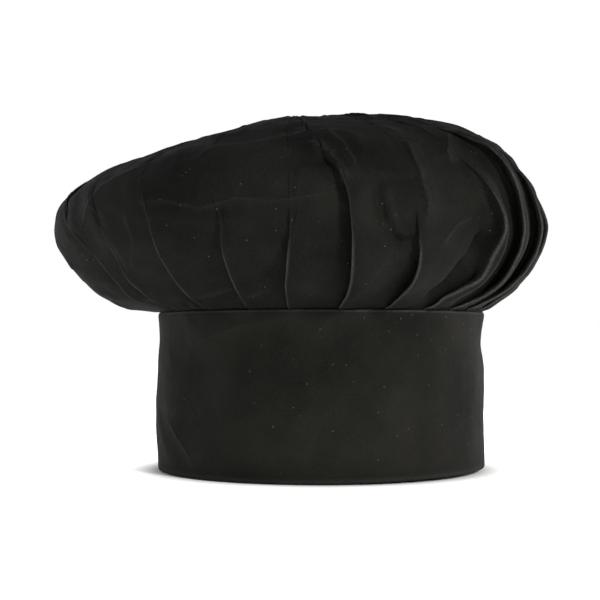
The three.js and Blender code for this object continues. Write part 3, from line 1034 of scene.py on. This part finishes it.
def round_row(radius, start, length, z, facing=1, wave=True):
    """A stitched line that runs round the band at one height."""

    def place(distance):
        return on_cylinder(radius, start + math.degrees(distance / radius), z, facing, wave)

    return stitch_row(place, length)


def upright_row(radius, angle, low, length, wave=True):
    """A stitched line that runs up the band."""
    return stitch_row(lambda distance: on_cylinder(radius, angle, low + distance, 1, wave), length)


def stitched_box(radius, start, end, low, high, wave, last_side=True):
    """Stitches round the edges of a patch between two angles and two heights."""
    length = math.radians(end - start) * radius
    rods = []
    for z in (low, high):
        rods += round_row(radius, start, length, z, wave=wave)
    for angle in (start, end) if last_side else (start,):
        rods += upright_row(radius, angle, low, high - low, wave)
    return rods


def bar_tack(centre, along, across, normal, length, width):
    """A dense zigzag of thread, as at the end of a slit or the root of a tab."""
    rods = []
    count = int(length / 0.55)
    for k in range(count):
        at = centre + along * ((k + 0.5) / count - 0.5) * length
        lean = along * 0.25
        line = [
            at - across * width / 2 - lean - normal * 0.1,
            at - across * width / 4 - lean / 2 + normal * 0.22,
            at + across * width / 4 + lean / 2 + normal * 0.22,
            at + across * width / 2 + lean - normal * 0.1,
        ]
        rods.append(rod(line, 0.2))
    return rods


def threads(name, rods, node_name, body="hat"):
    finish_piece(many(name, rods), THREAD, body, [node_name])


# ---------------------------------------------------------------- closure tab
TAB_LOW, TAB_HIGH = (c[2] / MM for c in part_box("closure_tab"))
TAB_INSIDE = BAND_OUTER + 3 * LAY_GAP + 2 * TAPE
TAB_MIDDLE = TAB_INSIDE + 1.5
TAB_LENGTH = 66.0


def tab_radius(distance):
    """The tab's middle leaves the band's end and rises over the tapes."""
    start = (OUTER_WALL + INNER_WALL) / 2
    return start + (TAB_MIDDLE - start) * smoothstep(-3, 12, distance)


def tab_angle(distance):
    return HINGE_ANGLE - np.degrees(np.asarray(distance, float) / TAB_INSIDE)


def tab_wave(distance, z):
    point = np.stack(np.broadcast_arrays(distance, 0.0, z), -1)
    return 0.35 * value_noise(point, 19, 21, 2) * smoothstep(6, 20, distance)


def across_hinge(made):
    start = polar(HINGE_RADIUS, HINGE_ANGLE + 0.6, 44.0) * MM
    end = polar(HINGE_RADIUS, HINGE_ANGLE - deg_of(8.0), 44.0) * MM
    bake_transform(made)


def make_tab():
    stations = np.r_[0, np.linspace(1.2, 63, 46), 64.4, 65.3, 65.8]
    half = 1.25  # of its thickness
    bend = 1.3  # the rounding of its folded edges
    low, high = TAB_LOW + 0.3, TAB_HIGH - 0.3
    climb = np.linspace(low + bend, high - bend, 26)
    section = [(1, z) for z in climb]
    turns = np.radians([60, 30, 0, -30, -60])
    top = [(math.sin(a), high - bend + bend * math.cos(a)) for a in turns]
    bottom = [(-x, low + high - z) for x, z in top]
    section = section + top + [(-1, z) for z in climb[::-1]] + bottom
    rows = []
    for distance in stations:
        thin = half * (1 - 0.72 * smoothstep(62.5, TAB_LENGTH, distance))
        side, z = np.array(section).T
        radius = tab_radius(distance) + side * thin + tab_wave(distance, z)
        rows.append(polar(radius, tab_angle(distance), z))
    count = len(section)
    faces = grid_faces(len(rows), count, closed=True)
    last = (len(rows) - 1) * count
    body = len(climb)
    for k in range(body - 1):
        a, b = k, k + 1
        c, d = 2 * body + 5 - 1 - b, 2 * body + 5 - 1 - a
        faces.append((last + a, last + b, last + c, last + d))
    faces.append(tuple(last + v for v in range(body - 1, body + 6)))
    faces.append(tuple(last + v for v in [*range(2 * body + 4, 2 * body + 10), 0]))
    made = make_mesh("tab_cloth", np.concatenate(rows), faces)
    girth = run_along([(x * half, z) for x, z in section])
    set_weave(made, np.stack(np.meshgrid(girth, stations), -1).reshape(-1, 2)[:, ::-1])
    thicken(made, 0.45)
    finish_piece(made, TWILL_BAND, body=None, nodes=["closure_tab"])
    across_hinge(made)

    z = np.linspace(TAB_LOW + 3, TAB_HIGH - 3, 20)
    stations = np.linspace(1.5, 62.5, 34)
    rows = [polar(tab_radius(d) + tab_wave(d, z), tab_angle(d), z) for d in stations]
    stiff = make_mesh("tab_interfacing", np.concatenate(rows), grid_faces(len(stations), len(z)))
    thicken(stiff, 0.5, smooth=False)
    finish_piece(stiff, STIFFENER, body=None, nodes=["tab_stiffener"])
    across_hinge(stiff)


def make_tape(name, inner, ends, width, material, body):
    """The web of a narrow tape, ribbed across."""
    span = np.linspace(*ends, 60)
    low, high = MIDDLE - width / 2, MIDDLE + width / 2
    heights = np.r_[low, low + 0.5, np.linspace(low + 1.5, high - 1.5, 12), high - 0.5, high]
    outer = inner + WEB
    middle = (inner + outer) / 2
    rows = []
    for z in heights:
        ribs = 0.05 * np.cos(np.radians(span) * middle * 2 * math.pi / 1.4)
        wave = band_wave(span, z) if body == "hat" else 0.0
        rows.append(polar(middle + ribs + wave, span, z))
    faces = grid_faces(len(heights), len(span))
    made = make_mesh(name + "_cloth", np.concatenate(rows), faces)
    thicken(made, outer - inner, smooth=False)
    finish_piece(made, material, body, [name])
    length = abs(math.radians(ends[1] - ends[0])) * middle
    return made, (length * MM, (high - low) * MM)


MIDDLE = BAND_HEIGHT / 2
BOX_INSET = 1.2  # from a tape's edges to the stitches round it
LOOP_END = UNDERLAP_ANGLE - deg_of(TAPE_INSET)
LOOP_START = UNDERLAP_ANGLE - deg_of(TAPE_INSET + LOOP_TAPE[0])
HOOK_END = UNDERLAP_ANGLE - deg_of(TAPE_INSET + 1.5)
TAB_END = float(tab_angle(TAB_LENGTH))
HOOK_START = TAB_END + deg_of(TAPE_INSET)
WEB = 0.35  # the woven part of a tape
TAB_FACE = TAB_MIDDLE + 1.25 + 0.24


def box_round_tape(radius, start, end, width, wave=True):
    inset = deg_of(BOX_INSET)
    low, high = MIDDLE - width / 2 + BOX_INSET, MIDDLE + width / 2 - BOX_INSET
    return stitched_box(radius, start + inset, end - inset, low, high, wave)


def make_loop_tape():
    """Loop tape on the underlap, with its pile."""
    base = BAND_OUTER + 0.28
    loop, flat = make_tape("loop_tape", base, (LOOP_START, LOOP_END), LOOP_TAPE[1], LOOPS, "hat")
    rods = []
    for _ in range(900):
        angle = rng.uniform(LOOP_START + 1.2, LOOP_END - 1.2)
        z = rng.uniform(MIDDLE - 11.6, MIDDLE + 11.6)
        heading, size = rng.uniform(0, math.pi), rng.uniform(0.5, 0.9)
        out = outward(angle)
        side = np.array([-out[1], out[0], 0]) * math.cos(heading)
        side[2] = math.sin(heading)
        root = polar(base + 0.3 + float(band_wave(angle, z)), angle, z)
        line = [
            root - side * size * 0.3,
            root - side * size * 0.55 + out * 0.3,
            root + out * rng.uniform(0.42, 0.6),
            root + side * size * 0.55 + out * 0.3,
            root + side * size * 0.3,
        ]
        rods.append(rod(line, 0.06, sides=4, taper=False))
    pile = finish_piece(many("loop_pile", rods), LOOPS)
    rods = box_round_tape(base + 0.42, LOOP_START, LOOP_END, LOOP_TAPE[1])
    threads("loop_tape_stitches", rods, "loop_tape_thread")


def make_hook_tape():
    """Hook tape under the tab, with its hooks."""
    face = TAB_INSIDE - 0.42
    ends = (HOOK_START, HOOK_END)
    hook, flat = make_tape("hook_tape", face, ends, HOOK_TAPE_WIDTH, HOOKS, "closure_tab")
    rods = []
    around = np.arange(HOOK_START + 1.0, HOOK_END - 0.8, math.degrees(1.5 / TAB_INSIDE))
    for row, z in enumerate(np.arange(MIDDLE - 9.6, MIDDLE + 9.7, 1.5)):
        lean = np.array([0, 0, 1.0 if row % 2 else -1.0])
        for angle in around:
            out = outward(angle)
            root = polar(face + 0.05, angle, z)
            bends = ((0.45, 0), (0.72, 0.16), (0.74, 0.4), (0.5, 0.52))
            line = [root] + [root - out * down + lean * over for down, over in bends]
            rods.append(rod(line, 0.09, sides=4, taper=False))
    bristles = finish_piece(many("hooks", rods), HOOKS, "closure_tab")
    rods = box_round_tape(TAB_FACE, HOOK_START, HOOK_END, HOOK_TAPE_WIDTH, wave=False)
    threads("hook_tape_stitches", rods, "hook_tape_thread", "closure_tab")


def make_closure_stitches():
    """Stitches along the tab's edges and the underlap's end, and the tacks at the tab's root."""
    root, end = float(tab_angle(15)), TAB_END + deg_of(2.6)
    low, high = TAB_LOW + 2.6, TAB_HIGH - 2.6
    rods = stitched_box(TAB_FACE, end, root, low, high, wave=False, last_side=False)
    threads("tab_edge_stitches", rods, "tab_edge_thread", "closure_tab")
    sewn = BAND_OUTER - 0.12
    rods = upright_row(sewn, UNDERLAP_ANGLE - deg_of(2.2), 2.6, BAND_HEIGHT - 7)
    threads("underlap_end_stitches", rods, "underlap_end_thread")
    angle = HINGE_ANGLE + deg_of(3.4)
    out = outward(angle)
    side = np.array([-out[1], out[0], 0])
    for place, z in (("lower", 11.0), ("upper", BAND_HEIGHT - 11.0)):
        centre = polar(sewn + float(band_wave(angle, z)), angle, z)
        rods = bar_tack(centre, np.array([0, 0, 1.0]), side, out, 10, 2)
        threads(f"tab_root_stitches_{place}", rods, f"tab_root_tack_{place}")


def make_seam_stitches():
    start = HINGE_ANGLE + deg_of(3)
    length = math.radians(UNDERLAP_ANGLE + 360 - deg_of(6) - HINGE_ANGLE) * BAND_INNER
    rods = round_row(BAND_INNER + 0.12, start, length, BAND_HEIGHT - 2.8, facing=-1)
    threads("crown_seam_stitches", rods, "crown_seam_thread")


def make_slit_tack(crown):
    """The bar tack lies on the crown's own cloth, across the end of the slit."""
    z = (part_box("slit_tack")[0][2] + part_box("slit_tack")[1][2]) / 2
    out = Vector(outward(SLIT_ANGLE))
    start = out * 0.4
    start.z = z + 0.001
    hit, where, normal, _ = crown.ray_cast(start, -out)
    if not hit:
        raise RuntimeError("no crown cloth was found under the slit's bar tack")
    normal = np.array(normal)
    where = np.array(where) / MM
    side = np.cross([0, 0, 1.0], normal)
    side /= np.linalg.norm(side)
    up = np.cross(normal, side)
    rods = bar_tack(where + normal * 0.1, side, up, normal, 10, 2)
    threads("slit_end_stitches", rods, "slit_tack")


def make_label(name, node_name, angle, width, height):
    """A blank satin label that hangs from the seam and curls a little at its free end."""
    half = math.degrees(width / 2 / BAND_INNER)
    span = np.linspace(angle - half, angle + half, 14)
    top = BAND_HEIGHT - 2.2
    heights = np.linspace(top, top - height, 20)
    rows = []
    for z in heights:
        hang = (top - z) / height
        curl = 0.35 + 1.3 * hang**3 + 0.25 * np.cos((span - angle) / half * 1.4) * hang
        rows.append(polar(BAND_INNER - curl + band_wave(span, z), span, z))
    made = make_mesh(name, np.concatenate(rows), grid_faces(len(heights), len(span)))
    thicken(made, 0.22)
    finish_piece(made, LABEL, "hat", [node_name])


make_band()
make_stiffener()
crown_cloth = make_crown()
make_seam_stitches()
make_slit_tack(crown_cloth)
make_tab()
make_loop_tape()
make_hook_tape()
make_closure_stitches()
make_label("care_label_cloth", "care_label", 60.0, 30.0, 42.0)
make_label("size_label_cloth", "size_label", 60.0 - deg_of(30), 18.0, 14.0)

# ---------------------------------------------------------------- stage, lights, camera
def make_stage():
    corners = [(6000 * x, 6000 * y, 0) for x, y in ((-1, -1), (1, -1), (1, 1), (-1, 1))]
    floor = make_mesh("floor", corners, [(0, 1, 2, 3)])
    pale, tree, shader = new_material("floor_pale")
    grain = node(tree, "ShaderNodeTexNoise", Scale=3.0, Detail=2.0)
    link = tree.links.new
    pale_stops = list(zip((0.3, 0.7), grey(0.86, 0.9)))
    link(ramp(tree, grain.outputs["Fac"], pale_stops), shader.inputs["Base Color"])
    shader.inputs["Roughness"].default_value = 0.9
    shader.inputs["Specular IOR Level"].default_value = 0.1
    # A light table that is dark where the hat stands on it.
    place = node(tree, "ShaderNodeTexCoord").outputs["Object"]
    away = node(tree, "ShaderNodeVectorMath", operation="LENGTH")
    link(place, away.inputs[0])
    reach = calc(tree, "MULTIPLY", away.outputs["Value"], 4.0)
    lit_stops = list(zip((0.36, 0.46), grey(0, 1)))
    link(ramp(tree, reach, lit_stops), shader.inputs["Emission Color"])
    shader.inputs["Emission Strength"].default_value = 1.22
    floor.data.materials.append(pale)


# Each soft box: name, place, aim, size in metres, watts, colour.
LIGHTS = [
    ("top_box", (-0.5, 0.3, 1.4), (0, 0, 0.15), (0.3, 0.3), 3, (0.86, 0.93, 1.0)),
    ("key_box", (0.85, -1.2, 0.7), (0, 0, 0.1), (0.24, 0.24), 22, (1.0, 0.985, 0.94)),
    ("left_box", (-1.2, 0.6, 0.4), (0, 0, 0.12), (0.3, 0.8), 3, (1, 1, 1)),
    ("right_box", (1.2, 0.45, 0.4), (0, 0, 0.12), (0.3, 0.8), 5, (1, 1, 1)),
]


def area_light(name, place, target, size, power, colour):
    data = bpy.data.lights.new(name, "AREA")
    data.shape = "RECTANGLE"
    data.size, data.size_y = size
    data.energy = power
    data.color = colour
    made = add_object(name, data)
    made.location = place
    aim = Vector(target) - Vector(place)
    made.rotation_euler = aim.to_track_quat("-Z", "Y").to_euler()


def make_lights():
    """A white backdrop, dimmer in front and overhead, with soft boxes."""
    world = bpy.data.worlds.new("studio")
    world.use_nodes = True
    tree = world.node_tree
    where = node(tree, "ShaderNodeTexCoord").outputs["Generated"]
    split = node(tree, "ShaderNodeSeparateXYZ")
    tree.links.new(where, split.inputs[0])
    shade = ramp(tree, split.outputs[2], [(0.28, (1, 1, 1)), (0.6, (0.08, 0.084, 0.095))])
    behind = calc(tree, "ADD", calc(tree, "MULTIPLY", split.outputs[1], 0.5), 0.5)
    depth = ramp(tree, behind, list(zip((0.0, 0.5, 0.85), grey(0.36, 0.6, 1))))
    mix = node(tree, "ShaderNodeMix", data_type="RGBA", blend_type="MULTIPLY")
    mix.inputs["Factor"].default_value = 1.0
    tree.links.new(shade, mix.inputs["A"])
    tree.links.new(depth, mix.inputs["B"])
    tree.links.new(mix.outputs["Result"], tree.nodes["Background"].inputs["Color"])
    tree.nodes["Background"].inputs["Strength"].default_value = 1.0
    bpy.context.scene.world = world
    for light in LIGHTS:
        area_light(*light)


def make_camera():
    data = bpy.data.cameras.new("camera")
    data.sensor_width = 36
    data.lens = 77.6
    data.clip_start, data.clip_end = 0.01, 60
    made = add_object("camera", data)
    made.location = (-0.012, -0.738, 0.070)
    made.rotation_euler = (math.radians(91.99), 0, 0)
    bpy.context.scene.camera = made


make_stage()
make_lights()
make_camera()
bpy.context.scene.view_settings.view_transform = "Standard"

bpy.context.view_layer.update()
